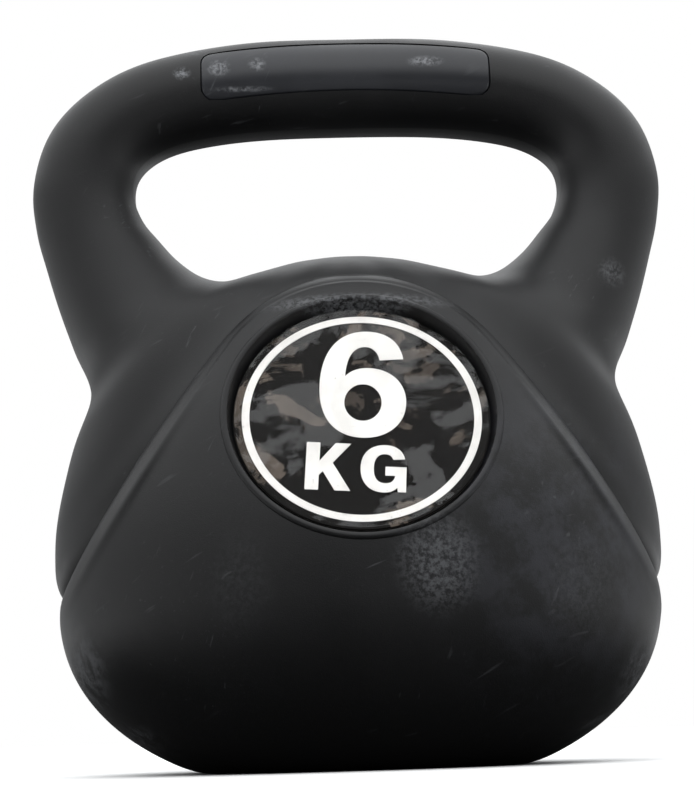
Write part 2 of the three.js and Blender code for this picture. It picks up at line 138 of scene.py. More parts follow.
class KETTLEBELL_PG_finish(bpy.types.PropertyGroup):
    plastic: colour("Shell plastic", "Black plastic of the shell", (0.0028, 0.0028, 0.0031))
    # The rubbed colour also paints the highlight on the front recess's top wall and the reflections
    # on the belly's lower edges.
    worn: colour("Rubbed plastic", "Plastic that handling has greyed", (0.17, 0.175, 0.185))
    # The haze colour is a lighter, bluish tint laid over the right of the belly.
    haze: colour("Belly tint", "Lighter, bluish patch over the right of the belly", (0.017, 0.0175, 0.0215))
    inlay: colour("Grip inlay", "Dark grey of the grip inlays", (0.012, 0.0128, 0.0155))
    cement: colour("Cement", "Set cement and sand", (0.35, 0.33, 0.3))
    foam: colour("Foam tape", "Pad under the label", (0.02, 0.018, 0.016))
    label_black: colour("Label black", "Printed ground of the label", (0.004, 0.0035, 0.003))
    # Colour of the painted reflection in hard-edged patches on the label's black.
    label_glare: colour("Label glare", "Brown-grey patches of painted reflection on the label", (0.1, 0.082, 0.068))
    print_pale: colour("Label print", "Ring, figure and letters", (0.83, 0.81, 0.775))
    roughness: bpy.props.FloatProperty(
        name="Shell roughness", description="Roughness of the shell", default=0.44, min=0, max=1)


class KETTLEBELL_PG_stage(bpy.types.PropertyGroup):
    floor: colour("Floor", "Pale floor", (0.9, 0.9, 0.9))
    sky: brightness("Sky", "Brightness of the ceiling", 1.75)
    surround: brightness("Surround", "Brightness of the room near the floor", 0.04)
    backing: brightness("Backing", "Brightness of the walls behind and at the sides", 0.55)
    key_power: brightness("Front power", "Power of the soft panel in front", 17, "POWER")


# ----------------------------------------------------------------- mesh making

def add_object(name, mesh):
    piece = bpy.data.objects.new(name, mesh)
    bpy.context.scene.collection.objects.link(piece)
    return piece


def mesh_from(name, points, faces, smooth=True):
    """A mesh from points and faces, with every face turned outwards."""
    mesh = bpy.data.meshes.new(name)
    mesh.from_pydata([tuple(point) for point in points], [], faces)
    mesh.validate()
    outward = bmesh.new()
    outward.from_mesh(mesh)
    bmesh.ops.recalc_face_normals(outward, faces=outward.faces)
    outward.to_mesh(mesh)
    outward.free()
    if smooth:
        mesh.shade_smooth()
    else:
        mesh.shade_flat()
    return mesh


def ring_faces(rings, count, closed):
    """Quads between rings of count points, stored one ring after another."""
    faces = []
    for i in range(rings if closed else rings - 1):
        here, after = i * count, ((i + 1) % rings) * count
        for j in range(count):
            k = (j + 1) % count
            faces.append((here + j, after + j, after + k, here + k))
    return faces


def full_turn(count):
    """Evenly spaced angles round a whole turn."""
    return np.arange(count) * 2 * math.pi / count


def turned_mesh(name, profile, segments):
    """A solid turned about Z from (radius, height) pairs that start and end on the axis."""
    middle = profile[1:-1]
    turns = full_turn(segments)
    points = [(r * math.cos(a), r * math.sin(a), z) for r, z in middle for a in turns]
    faces = ring_faces(len(middle), segments, False)
    first, last = len(points), len(points) + 1
    points += [(0, 0, profile[0][1]), (0, 0, profile[-1][1])]
    end = (len(middle) - 1) * segments
    for j in range(segments):
        k = (j + 1) % segments
        faces.append((first, k, j))
        faces.append((last, end + j, end + k))
    return mesh_from(name, points, faces)


def ring_mesh(name, profile, segments):
    """A ring turned about Z from a closed run of (radius, height) pairs."""
    turns = full_turn(segments)
    points = [(r * math.cos(a), r * math.sin(a), z) for a in turns for r, z in profile]
    return mesh_from(name, points, ring_faces(segments, len(profile), True))


def rounded_edge(radius, low, high, soften, steps=4):
    """Profile points down a disc's side, with both edges rounded."""
    points = []
    for middle, start in ((low + soften, 270), (high - soften, 0)):
        for i in range(steps + 1):
            angle = math.radians(start + 90 * i / steps)
            out = radius - soften + soften * math.cos(angle)
            points.append((out, middle + soften * math.sin(angle)))
    return points


def no_lift(x):
    """An outline left where it is."""
    return 0 * x


def patch_solid(name, centre, reach, front, back, rays, rings, lift=no_lift):
    """A solid seen from the front: rays run from a centre to an edge in X and Z.

    reach gives the edge's distance along each ray, lift raises the outline at
    each X, and front and back give the two depths at X and Z. Rings crowd
    towards the edge, where the surface turns.
    """
    angles = full_turn(rays)
    edge = reach(angles)
    share = np.sin(np.arange(1, rings + 1) / rings * math.pi / 2)
    x = centre[0] + share[:, None] * edge * np.cos(angles)
    z = centre[1] + share[:, None] * edge * np.sin(angles) + lift(x - centre[0])
    sides = [np.stack([x, depth(x, z), z], axis=-1) for depth in (front, back)]
    middle_x, middle_z = np.array([[centre[0]], [centre[1] + lift(0.0)]])
    ends = [np.concatenate([middle_x, depth(middle_x, middle_z), middle_z])
            for depth in (front, back)]
    points = np.vstack([sides[0].reshape(-1, 3), sides[1].reshape(-1, 3), ends])
    size = rings * rays
    faces = ring_faces(rings, rays, False)
    faces += [tuple(size + v for v in reversed(face)) for face in faces]
    outer = (rings - 1) * rays
    for j in range(rays):
        k = (j + 1) % rays
        faces.append((2 * size, j, k))
        faces.append((2 * size + 1, size + k, size + j))
        faces.append((outer + j, size + outer + j, size + outer + k, outer + k))
    return mesh_from(name, points, faces)


def finished_mesh(piece):
    """A new mesh of a piece or curve as its modifiers and settings leave it."""
    bpy.context.view_layer.update()
    depsgraph = bpy.context.evaluated_depsgraph_get()
    return bpy.data.meshes.new_from_object(piece.evaluated_get(depsgraph))


def boolean(piece, operation, tool):
    """Join, cut or cross a piece with a tool, and delete the tool."""
    modifier = piece.modifiers.new("boolean", "BOOLEAN")
    modifier.operation = operation
    modifier.object = tool
    modifier.solver = "MANIFOLD"
    result = finished_mesh(piece)
    piece.modifiers.clear()
    old, piece.data = piece.data, result
    tool_mesh = tool.data
    bpy.data.objects.remove(tool)
    for spent in (old, tool_mesh):
        bpy.data.meshes.remove(spent)


def give_material(piece, material):
    piece.data.materials.clear()
    piece.data.materials.append(material)


def dress(piece, body, material, slot, *replaced):
    """Give a piece its material, attach it to its body, and hide the parts that it replaces."""
    give_material(piece, material)
    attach(piece, body)
    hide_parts(*replaced)


# ------------------------------------------------------------- shape of the shell

HANDLE_CORNER_POWERS = (3.1, 1.85)
WINDOW_CORNER_POWERS = (2.9, 2.9)
SEAM_RISE = 0.16 * MM
SEAM_PLACES = np.array([-0.9, -0.45, 0.45, 0.9]) * MM / (2 * math.pi * 20 * MM)


def corner_point(half_width, widest_z, height, powers, degrees):
    """A point on a rounded corner: 0 degrees is the top middle, 90 the widest side."""
    angle = math.radians(degrees)
    across, up = powers
    x = half_width * math.sin(angle) ** (2 / across)
    return x, widest_z + height * max(math.cos(angle), 0) ** (2 / up)


def yoke_stations(s):
    """Stations round the right half of the loop: window edge, outer edge, half depth."""
    handle_z = s.height - s.handle_widest_drop
    window_top = s.height - s.grip_thickness
    window_z = window_top - s.window_widest_drop
    saddle_z = s.dome_top - s.saddle_dip
    half = s.grip_depth / 2

    def window(degrees):
        return corner_point(s.window_half_width, window_z, s.window_widest_drop,
                            WINDOW_CORNER_POWERS, degrees)

    def handle(degrees):
        return corner_point(s.handle_half_width, handle_z, s.handle_widest_drop,
                            HANDLE_CORNER_POWERS, degrees)

    def between(start, end, across, down):
        return start[0] + (end[0] - start[0]) * across, start[1] + (end[1] - start[1]) * down

    side = (s.window_half_width, window_z)
    saddle = (s.saddle_x, saddle_z)
    dome = (0, s.dome_top)
    horn = (s.handle_half_width, handle_z)
    waist = (s.waist_half_width, s.waist_z)
    root = (s.root_half_width, s.root_z)
    root_end = (root[0] - 5.5 * MM, s.root_end_z)
    under_belly = (s.saddle_x * 1.4, s.root_end_z - 3 * MM)
    under_middle = (0, s.root_end_z + 1 * MM)
    return [
        (window(0), handle(0), half),
        (window(16), handle(10), half),
        (window(37), handle(29), half),
        (window(56), handle(47), half),
        (window(76), handle(66.5), half + 0.2 * MM),
        (side, horn, half + 0.7 * MM),
        (between(side, saddle, 0.09, 0.28), between(horn, waist, 0.055, 0.216), half + 1.7 * MM),
        (between(side, saddle, 0.25, 0.5), between(horn, waist, 0.23, 0.395), half + 3.5 * MM),
        (between(side, saddle, 0.45, 0.74), between(horn, waist, 0.45, 0.59), half + 6.5 * MM),
        (between(side, saddle, 0.71, 0.935), between(horn, waist, 0.71, 0.784), half + 10.7 * MM),
        (saddle, waist, half + 16.7 * MM),
        (between(saddle, dome, 0.27, 0.39), between(waist, root, 0.57, 0.42), half + 20.2 * MM),
        (between(saddle, dome, 0.55, 0.79), root, half + 23.2 * MM),
        (between(saddle, dome, 0.76, 0.94), root_end, half + 27.4 * MM),
        (between(saddle, dome, 0.89, 1), under_belly, half + 27.4 * MM),
        (dome, under_middle, half + 28.9 * MM),
    ]


def closed_curve(stations, count):
    """A smooth closed run of count points through the stations."""
    stations = np.array(stations, dtype=float)
    size = len(stations)
    place = np.arange(count) * size / count
    index = place.astype(int)
    w = (place - index)[:, None]
    p0, p1, p2, p3 = (stations[(index + k) % size] for k in (-1, 0, 1, 2))
    return 0.5 * (2 * p1 + (p2 - p0) * w + (2 * p0 - 5 * p1 + 4 * p2 - p3) * w ** 2
                  + (3 * p1 - p0 - 3 * p2 + p3) * w ** 3)


def eased(run, reach):
    """A closed run with each point averaged over its neighbours."""
    weights = np.hanning(2 * reach + 3)[1:-1]
    weights /= weights.sum()
    return sum(w * np.roll(run, k - reach, axis=0) for k, w in enumerate(weights))


def offset_run(run, distance):
    """Each point of a closed run moved sideways."""
    along = np.roll(run, -1, axis=0) - np.roll(run, 1, axis=0)
    along /= np.linalg.norm(along, axis=1)[:, None]
    return run + distance * np.stack([along[:, 1], -along[:, 0]], axis=1)


def yoke_outline(s, inset, count):
    """The loop's window edge, outer edge and half depth, moved in by an inset."""
    right = yoke_stations(s)
    left = [((-a[0], a[1]), (-b[0], b[1]), h) for a, b, h in reversed(right[1:-1])]
    run = closed_curve([(*a, *b, h) for a, b, h in right + left], count)
    run = eased(run, max(count // 90, 1))
    return offset_run(run[:, :2], -inset), offset_run(run[:, 2:4], inset), run[:, 4] - inset


def yoke_mesh(s, name, inset, count, section, seam):
    """The loop as a mesh, with a pinched land inside the window and a mould seam outside.

    The seam is a rise in the middle of each section, with steps close beside it.
    """
    inner, outer, half = yoke_outline(s, inset, count)
    land = np.arcsin(max(s.land_width / 2 - inset / 2, 1 * MM) / half)
    steps = np.linspace(0, 1, section + 1)
    if seam:
        steps = np.sort(np.append(steps, 0.5 + SEAM_PLACES))
    angle = land[:, None] + (2 * math.pi - 2 * land[:, None]) * steps
    across = (np.cos(land)[:, None] - np.cos(angle)) / (np.cos(land)[:, None] + 1)
    if seam:
        width = np.linalg.norm(outer - inner, axis=1)[:, None]
        across = across + np.where(np.abs(steps - 0.5) < 1e-6, seam, 0) / width
    x = inner[:, :1] + (outer - inner)[:, :1] * across
    z = inner[:, 1:] + (outer - inner)[:, 1:] * across
    y = half[:, None] * np.sin(angle)
    points = np.stack([x, y, z], axis=-1).reshape(-1, 3)
    return mesh_from(name, points, ring_faces(count, len(steps), True))


BELLY_PLAN_POWER = 2.2
BELLY_BOTTOM_POWER = 2.17
BASE_ROUNDING = 2.6 * MM
DOME_OVER_BELLY = 0.6 * MM


def belly_spread(s, z, inset=0.0):
    """The belly's width at a height, as a share of its widest."""
    top = s.dome_top - DOME_OVER_BELLY - s.belly_widest_z - inset
    up = np.clip((z - s.belly_widest_z) / top, 0, 1)
    down = np.clip((s.belly_widest_z - z) / (s.belly_bottom_reach - inset), 0, 1)
    low = (1 - down ** BELLY_BOTTOM_POWER) ** (1 / BELLY_BOTTOM_POWER)
    spread = np.where(z > s.belly_widest_z, np.sqrt(1 - up ** 2), low)
    near_base = np.clip((BASE_ROUNDING - z) / BASE_ROUNDING, 0, 1)
    drawn_in = 0.8 * BASE_ROUNDING * (1 - np.sqrt(1 - near_base ** 2))
    return spread - drawn_in / s.belly_half_width


def belly_depth(s, x, z, inset=0.0):
    """How far the belly reaches from the middle plane, in front view."""
    spread = np.maximum(belly_spread(s, z, inset), 1e-6)
    across = np.clip(np.abs(x) / ((s.belly_half_width - inset) * spread), 0, 1)
    round_plan = (1 - across ** BELLY_PLAN_POWER) ** (1 / BELLY_PLAN_POWER)
    return (s.belly_half_depth - inset) * spread * round_plan


def apron_tangent(s, inset=0.0):
    """The angles at which the apron's arch turns straight, and at which its side ends."""
    end_x = s.belly_half_width - 0.2 * MM
    end_z = s.apron_end_z - inset - s.apron_z
    end = math.atan2(end_z, end_x)
    return end + math.acos((s.apron_radius - inset) / math.hypot(end_x, end_z)), end


def belly_reach(s, angle, inset, floor):
    """Distance from the arch's centre to the belly's outline along each angle."""
    near = np.full_like(angle, 5 * MM)
    far = np.full_like(angle, 2 * s.belly_half_width)
    for _ in range(44):
        middle = (near + far) / 2
        x = np.abs(middle * np.cos(angle))
        z = s.apron_z + middle * np.sin(angle)
        width = (s.belly_half_width - inset) * belly_spread(s, np.maximum(z, 0), inset)
        inside = (x < width) & (z > floor)
        near = np.where(inside, middle, near)
        far = np.where(inside, far, middle)
    return (near + far) / 2


def apron_mesh(s, name, inset, floor, rays, rings, lip):
    """The belly under its bell-shaped edge, with the edge rolled over."""
    tangent, end = apron_tangent(s, inset)
    radius = s.apron_radius - inset

    def reach(angles):
        folded = np.where(angles > 1.5 * math.pi, angles - 2 * math.pi, angles)
        right = np.where(folded > math.pi / 2, math.pi - folded, folded)
        side = radius / np.cos(np.clip(right - tangent, -1.2, 0))
        return np.where(right >= end, side, belly_reach(s, angles, inset, floor))

    def edge_distance(x, z):
        x, z = np.abs(x), z - s.apron_z
        arch = radius - np.hypot(x, z)
        straight = radius - (x * math.cos(tangent) + z * math.sin(tangent))
        return np.where(np.arctan2(z, x) >= tangent, arch, straight)

    def front(x, z):
        depth = belly_depth(s, x, z, inset)
        if lip:
            edge = edge_distance(x, z)
            near = np.clip(1 - edge / lip, 0, 1)
            depth = depth - np.minimum(lip * (1 - np.sqrt(1 - near ** 2)), depth * 0.9)
            inside = np.clip((edge - 0.9 * lip) / (0.3 * lip), 0, 1)
            upper = np.clip((z - s.apron_z + 12 * MM) / (30 * MM), 0, 1)
            depth = depth + s.step_rise * (inside ** 2 * (3 - 2 * inside) - 1) * upper
            rib = np.exp(-((edge - 1.15 * lip) / (0.42 * lip)) ** 2)
            depth = depth + s.rib_rise * rib * (1 - upper) * np.clip(depth / (20 * MM), 0, 1)
        return -depth

    def back(x, z):
        return -front(x, z)

    return patch_solid(name, (0, s.apron_z), reach, front, back, rays, rings)


# ------------------------------------------------------------------ label frame

FACE_THICKNESS = 0.4 * MM
ARTWORK_TURN = math.radians(-4.5)
RECESS_FILLET = 0.8 * MM


def label_matrix(side):
    """The label's frame: its origin in the middle of the printed face, Z outwards."""
    centre = (FACE_LOW + FACE_HIGH) / 2
    size = FACE_HIGH - FACE_LOW
    tilt = math.atan2(size.x * size.y - FACE_THICKNESS * size.z,
                      size.x * size.z - FACE_THICKNESS * size.y)
    lean = Matrix.Translation(centre) @ Matrix.Rotation(math.pi / 2 - tilt, 4, "X")
    return lean if side == "front" else Matrix.Rotation(math.pi, 4, "Z") @ lean


def recess_slope(label):
    """How far the recess's wall runs outwards for each unit that it rises."""
    return label.rim_slope / label.recess_depth


def recess_cutter(label, side):
    """The recess, run on past the surface, with a fillet round its floor."""
    floor = -label.floor_below_face
    radius = label.recess_floor_radius
    slope = recess_slope(label)
    profile = [(0, floor)]
    for i in range(7):
        angle = -math.pi / 2 + (math.pi / 2 - math.atan(slope)) * i / 6
        profile.append((radius - RECESS_FILLET * (1 - math.cos(angle)),
                        floor + RECESS_FILLET * (1 + math.sin(angle))))
    rise = 40 * MM
    profile += [(radius + slope * rise, floor + rise), (0, floor + rise)]
    mesh = turned_mesh("recess", profile, 180)
    mesh.transform(label_matrix(side))
    return add_object("recess", mesh)


def recess_bead(s, label, side):
    """A rounded bead raised round the recess, which follows the belly's surface."""
    place = np.array(label_matrix("front"))
    turns = full_turn(240)
    around = np.stack([np.cos(turns), np.sin(turns), 0 * turns], axis=-1)
    height = np.full_like(turns, label.recess_depth)
    for _ in range(12):
        radius = label.recess_floor_radius + recess_slope(label) * height + 0.5 * label.bead_radius
        local = around * radius[:, None]
        local[:, 2] = height - label.floor_below_face
        middle = local @ place[:3, :3].T + place[:3, 3]
        height = height + middle[:, 1] + belly_depth(s, middle[:, 0], middle[:, 2])
    sink = 0.62 * label.bead_radius
    section = full_turn(16)[:, None]
    rings = [
        centre - (0, 0, sink)
        + label.bead_radius * (np.cos(section) * way + np.sin(section) * (0, 0, 1))
        for way, centre in zip(around, local)]
    mesh = mesh_from("bead", np.vstack(rings), ring_faces(len(turns), len(section), True))
    mesh.transform(label_matrix(side))
    return add_object("bead", mesh)


def recess_backing(label, side, thickness):
    """The room that the recess and its wall take from the hollow inside."""
    floor = -label.floor_below_face - thickness
    radius = label.recess_floor_radius + thickness
    rim = radius + label.rim_slope
    top = floor + thickness + label.recess_depth
    beyond = top + 60 * MM
    profile = [(0, floor), (radius, floor), (rim, top), (rim, beyond), (0, beyond)]
    mesh = turned_mesh("backing", profile, 72)
    mesh.transform(label_matrix(side))
    return add_object("backing", mesh)


# ------------------------------------------------------------------- grip inlay

INLAY_CORNER = 4 * MM
INLAY_THICKNESS = 0.9 * MM
INLAY_SINK = 0.25 * MM
POCKET_GAP = 0.16 * MM
POCKET_DEPTH = 1.4 * MM


def inlay_half_size(s):
    """Half the inlay's length, and half its height at the ends."""
    return (INLAY_HIGH.x - INLAY_LOW.x) / 2, (INLAY_HIGH.z - INLAY_LOW.z - s.inlay_arch) / 2


def inlay_lift(s):
    """How far the inlay's arch raises it at each place along the grip."""
    straight = inlay_half_size(s)[0] - INLAY_CORNER
    return lambda x: s.inlay_arch * np.maximum(1 - (x / straight) ** 2, 0)


def inlay_reach(s, margin):
    """Distance from the inlay's middle to its rounded outline along each angle."""
    half_x, half_z = (half + margin for half in inlay_half_size(s))
    corner = INLAY_CORNER + margin

    def reach(angles):
        near = np.zeros_like(angles)
        far = np.full_like(angles, 2 * half_x)
        for _ in range(40):
            middle = (near + far) / 2
            x = np.maximum(np.abs(middle * np.cos(angles)) - (half_x - corner), 0)
            z = np.maximum(np.abs(middle * np.sin(angles)) - (half_z - corner), 0)
            inside = np.hypot(x, z) < corner
            near = np.where(inside, middle, near)
            far = np.where(inside, far, middle)
        return (near + far) / 2
    return reach


def grip_depth_at(s, inset):
    """The depth of the grip's surface, moved in by an inset, at X and Z in front view."""
    inner, outer, half = yoke_outline(s, inset, 720)
    order = np.argsort(outer[:, 0])
    top = [i for i in order if outer[i, 1] > s.waist_z * 1.6]
    inner, outer, half = inner[top], outer[top], half[top]

    def depth(x, z):
        low = np.interp(x, outer[:, 0], inner[:, 1])
        high = np.interp(x, outer[:, 0], outer[:, 1])
        width = np.interp(x, outer[:, 0], half)
        across = np.clip((z - low) / (high - low), 0.001, 0.999)
        return width * 2 * np.sqrt(across * (1 - across))
    return depth


def outward(side):
    """Which way the side faces along Y."""
    return -1 if side == "front" else 1


def inlay_mesh(s, side):
    """The inlay, a little below the grip's surface, with softened edges."""
    surface = grip_depth_at(s, INLAY_SINK)
    half_x, half_z = inlay_half_size(s)
    lift = inlay_lift(s)
    middle_z = INLAY_LOW.z + half_z

    def front(x, z):
        dx = np.maximum(np.abs(x) - (half_x - INLAY_CORNER), 0)
        dz = np.maximum(np.abs(z - middle_z - lift(x)) - (half_z - INLAY_CORNER), 0)
        near = np.clip(1 - (INLAY_CORNER - np.hypot(dx, dz)) / (0.6 * MM), 0, 1)
        return outward(side) * (surface(x, z) - 0.45 * MM * near ** 2)

    def under(x, z):
        return outward(side) * (surface(x, z) - INLAY_THICKNESS)

    return patch_solid(f"{side}_grip_inlay_moulding", (0, middle_z), inlay_reach(s, 0),
                       front, under, 260, 40, lift)


def inlay_pocket(s, side):
    """The pocket that the inlay sits in, run on past the grip's surface."""
    surface = grip_depth_at(s, 0)
    middle_z = INLAY_LOW.z + inlay_half_size(s)[1]

    def beyond(x, z):
        return outward(side) * (surface(x, z) + 6 * MM)

    def floor(x, z):
        return outward(side) * (surface(x, z) - POCKET_DEPTH)

    mesh = patch_solid("pocket", (0, middle_z), inlay_reach(s, POCKET_GAP),
                       beyond, floor, 200, 24, inlay_lift(s))
    return add_object("pocket", mesh)


# ------------------------------------------------------------------------ plug

PLUG_SEAT = PLUG_LOW.z + 2 * MM
PLUG_GAP = 0.3 * MM


def plug_profile():
    """Half section of the plug, from the middle of its underside to its top."""
    sink, top = PLUG_LOW.z, PLUG_HIGH.z
    return (
        [(0, PLUG_SEAT), (9 * MM, PLUG_SEAT), (9.4 * MM, PLUG_SEAT - 0.3 * MM)]
        + [(9.5 * MM, sink + 0.35 * MM), (9.9 * MM, sink)]
        + rounded_edge(PLUG_HIGH.x, sink, PLUG_SEAT, 0.4 * MM)
        + [(12.7 * MM, PLUG_SEAT), (12.5 * MM, PLUG_SEAT + 0.2 * MM)]
        + [(12.5 * MM, top - 3 * MM), (12.75 * MM, top - 2.4 * MM), (12.5 * MM, top - 1.4 * MM)]
        + [(11.3 * MM, top), (0, top)]
    )


def plug_hole():
    """The hole that the plug snaps into, with a seat for its flange and a soft mouth."""
    flange = PLUG_HIGH.x + PLUG_GAP
    mouth = flange + 0.9 * MM
    neck = 12.8 * MM
    top = PLUG_HIGH.z + PLUG_GAP
    profile = [
        (0, -2 * MM), (mouth, -2 * MM), (mouth, -0.2 * MM), (flange, 0.7 * MM),
        (flange, PLUG_SEAT + PLUG_GAP), (neck, PLUG_SEAT + PLUG_GAP), (neck, top), (0, top)]
    return add_object("plug_hole", turned_mesh("plug_hole", profile, 120))


def plug_collar(wall):
    """The wall that the plastic keeps round the plug's hole, taken from the hollow."""
    radius = PLUG_HIGH.x + 0.3 * MM + wall
    top = PLUG_LOW.z + 2.3 * MM + wall
    profile = [(0, 0), (radius, 0), (radius, top), (0, top)]
    return add_object("collar", turned_mesh("collar", profile, 96))


# ------------------------------------------------------------------------ glyphs

GLYPH_BEVEL = 0.03 * MM


def glyph_curve(name, splines, thickness, height):
    """A filled outline with soft edges, from runs of places with their two handles."""
    curve = bpy.data.curves.new(name, "CURVE")
    curve.dimensions = "2D"
    curve.fill_mode = "BOTH"
    curve.resolution_u = 16
    curve.extrude = thickness / 2 - GLYPH_BEVEL
    curve.bevel_depth = GLYPH_BEVEL
    curve.bevel_resolution = 1
    curve.offset = -GLYPH_BEVEL
    for points in splines:
        spline = curve.splines.new("BEZIER")
        spline.bezier_points.add(len(points) - 1)
        spline.use_cyclic_u = True
        for point, places in zip(spline.bezier_points, points):
            point.handle_left_type = point.handle_right_type = "FREE"
            for key, place in zip(("co", "handle_left", "handle_right"), places):
                setattr(point, key, (place[0] * height, place[1] * height, 0))
    holder = add_object(name + "_outline", curve)
    mesh = finished_mesh(holder)
    bpy.data.objects.remove(holder)
    bpy.data.curves.remove(curve)
    return mesh


def bezier_run(start, *pieces):
    """Points with handles from a start and pieces: (x, y) lines, or six-number curves."""
    points = [[start, start, start]]
    for piece in pieces:
        if len(piece) == 2:
            points.append([piece, piece, piece])
        else:
            points[-1][2] = piece[0:2]
            points.append([piece[4:6], piece[2:4], piece[4:6]])
    if math.dist(points[0][0], points[-1][0]) < 1e-6:
        points[0][1] = points[-1][1]
        points.pop()
    return points


def figure_six():
    """The figure's outline and its bowl, and the height that they are drawn at."""
    body = bezier_run(
        (16.9, 26.2), (16.4, 29, 14.8, 30.6, 12.7, 30.6), (9, 30.6, 7.3, 26.4, 7.2, 20.3),
        (8.6, 22.2, 11, 23.4, 13.9, 23.4), (20.2, 23.4, 24.9, 18.9, 24.9, 12),
        (24.9, 4.9, 19.8, 0, 12.8, 0), (4.9, 0, 0, 6, 0, 17.2),
        (0, 28.9, 4.9, 36, 13.2, 36), (19, 36, 22.8, 32.6, 23.7, 26.9))
    x, y, a, b, k = 12.6, 11.7, 5.3, 6.1, 0.5523
    bowl = bezier_run(
        (x + a, y), (x + a, y + k * b, x + k * a, y + b, x, y + b),
        (x - k * a, y + b, x - a, y + k * b, x - a, y),
        (x - a, y - k * b, x - k * a, y - b, x, y - b),
        (x + k * a, y - b, x + a, y - k * b, x + a, y))
    return [body, bowl], 36


def letter_k():
    return [bezier_run(
        (0, 0), (4, 0), (4, 5), (5.1, 6.3), (8.8, 0), (13.4, 0),
        (7.9, 9.3), (13.1, 16), (8.5, 16), (4, 9.8), (4, 16), (0, 16))], 16


def letter_g():
    return [bezier_run(
        (13, 11.4), (12.4, 14.4, 10.2, 16, 7.1, 16), (2.8, 16, 0, 13, 0, 8.1),
        (0, 3.1, 2.7, 0, 6.9, 0), (8.7, 0, 10.1, 0.6, 10.9, 1.8), (11.1, 0.3), (13.5, 0.3),
        (13.5, 8.7), (7.3, 8.7), (7.3, 5.7), (10.2, 5.7), (10, 3.9, 8.9, 3.1, 7.3, 3.1),
        (5, 3.1, 3.9, 4.9, 3.9, 8.1), (3.9, 11.2, 5, 12.9, 7.1, 12.9),
        (8.4, 12.9, 9.2, 12.3, 9.5, 11.1))], 16


# ------------------------------------------------------------------ label layers

# Name, outline, height, left end and bottom in mm from the label's middle.
LABEL_GLYPHS = (
    ("figure_6", figure_six, 36, -12.45, -7.2),
    ("letter_k", letter_k, 15.2, -15.1, -24.5),
    ("letter_g", letter_g, 15.2, 0.2, -24.5),
)
# Heights above the middle of the printed face.
PRINT_LOW, PRINT_HIGH = 0.4 * MM, 0.6 * MM
FILM_LOW = 0.8 * MM
FILM_EDGE = 0.5 * MM
FILM_DOME = 0.6 * MM


def disc_profile():
    """Half section of the printed face."""
    radius = (FACE_HIGH.x - FACE_LOW.x) / 2
    half = FACE_THICKNESS / 2
    return [(0, -half)] + rounded_edge(radius, -half, half, 0.12 * MM) + [(0, half)]


def ring_profile(line):
    """Section of the pale ring, with its upper edges softened."""
    outer = (RING_HIGH.x - RING_LOW.x) / 2
    inner = outer - line
    soft = 0.05 * MM
    return [(inner, PRINT_LOW), (outer, PRINT_LOW), (outer, PRINT_HIGH - soft),
            (outer - soft, PRINT_HIGH), (inner + soft, PRINT_HIGH), (inner, PRINT_HIGH - soft)]


def film_profile():
    """Half section of the clear film: a flat underside, a low edge and a domed top."""
    radius = (LENS_HIGH.x - LENS_LOW.x) / 2
    soft = 0.1 * MM
    edge = FILM_LOW + FILM_EDGE
    profile = [(0, FILM_LOW), (radius - soft, FILM_LOW), (radius, FILM_LOW + soft)]
    for i in range(9):
        share = 1 - 0.012 * i * i / 8 if i < 4 else 1 - (i - 2) / 7
        profile.append((radius * share, edge + FILM_DOME * (1 - share ** 2)))
    return profile + [(0, edge + FILM_DOME)]


# -------------------------------------------------------------- material makers

class Nodes:
    """A short way to add and join shader nodes."""

    def __init__(self, tree):
        self.tree = tree

    def feed(self, node, inputs):
        """Set a node's inputs from values, or link them from other nodes' sockets."""
        for key, value in inputs.items():
            if isinstance(value, bpy.types.NodeSocket):
                self.tree.links.new(value, node.inputs[key])
            else:
                node.inputs[key].default_value = value

    def add(self, kind, inputs, **settings):
        node = self.tree.nodes.new(kind)
        for key, value in settings.items():
            setattr(node, key, value)
        self.feed(node, inputs)
        return node

    def place(self):
        return self.add("ShaderNodeTexCoord", {}).outputs["Object"]

    def math(self, operation, a, b=0.0, clamp=False):
        node = self.add("ShaderNodeMath", {0: a, 1: b}, operation=operation, use_clamp=clamp)
        return node.outputs[0]

    def vector(self, operation, a, b=(0, 0, 0), result=0):
        node = self.add("ShaderNodeVectorMath", {0: a, 1: b}, operation=operation)
        return node.outputs[result]

    def ramp(self, value, low, high, to_low=0.0, to_high=1.0):
        return self.add(
            "ShaderNodeMapRange", {0: value, 1: low, 2: high, 3: to_low, 4: to_high},
            interpolation_type="SMOOTHSTEP").outputs[0]

    def mix(self, factor, a, b):
        """Two colours mixed: inputs 6 and 7 and output 2 are the colour ones."""
        return self.add("ShaderNodeMix", {0: factor, 6: a, 7: b}, data_type="RGBA").outputs[2]

    def mix_shader(self, factor, a, b):
        return self.add("ShaderNodeMixShader", {0: factor, 1: a, 2: b}).outputs[0]

    def noise(self, vector, scale, detail=3.0, roughness=0.5, distortion=0.0):
        return self.add("ShaderNodeTexNoise", {
            "Vector": vector, "Scale": scale, "Detail": detail, "Roughness": roughness,
            "Distortion": distortion}).outputs["Fac"]

    def group(self, effect, **values):
        """Place a node group, give its inputs their values, and return its outputs."""
        node = self.add("ShaderNodeGroup", {}, node_tree=effect)
        self.feed(node, {key.replace("_", " "): value for key, value in values.items()})
        return node.outputs


def effect_group(name, inputs, outputs, build):
    """A shader node group with named sockets, made once."""
    if name in bpy.data.node_groups:
        return bpy.data.node_groups[name]
    group = bpy.data.node_groups.new(name, "ShaderNodeTree")
    for label, kind, default in inputs:
        socket = group.interface.new_socket(label, in_out="INPUT", socket_type=kind)
        socket.default_value = default
    for label, kind in outputs:
        group.interface.new_socket(label, in_out="OUTPUT", socket_type=kind)
    nodes = Nodes(group)
    source = group.nodes.new("NodeGroupInput")
    result = group.nodes.new("NodeGroupOutput")
    for label, socket in build(nodes, source.outputs).items():
        group.links.new(socket, result.inputs[label])
    return group


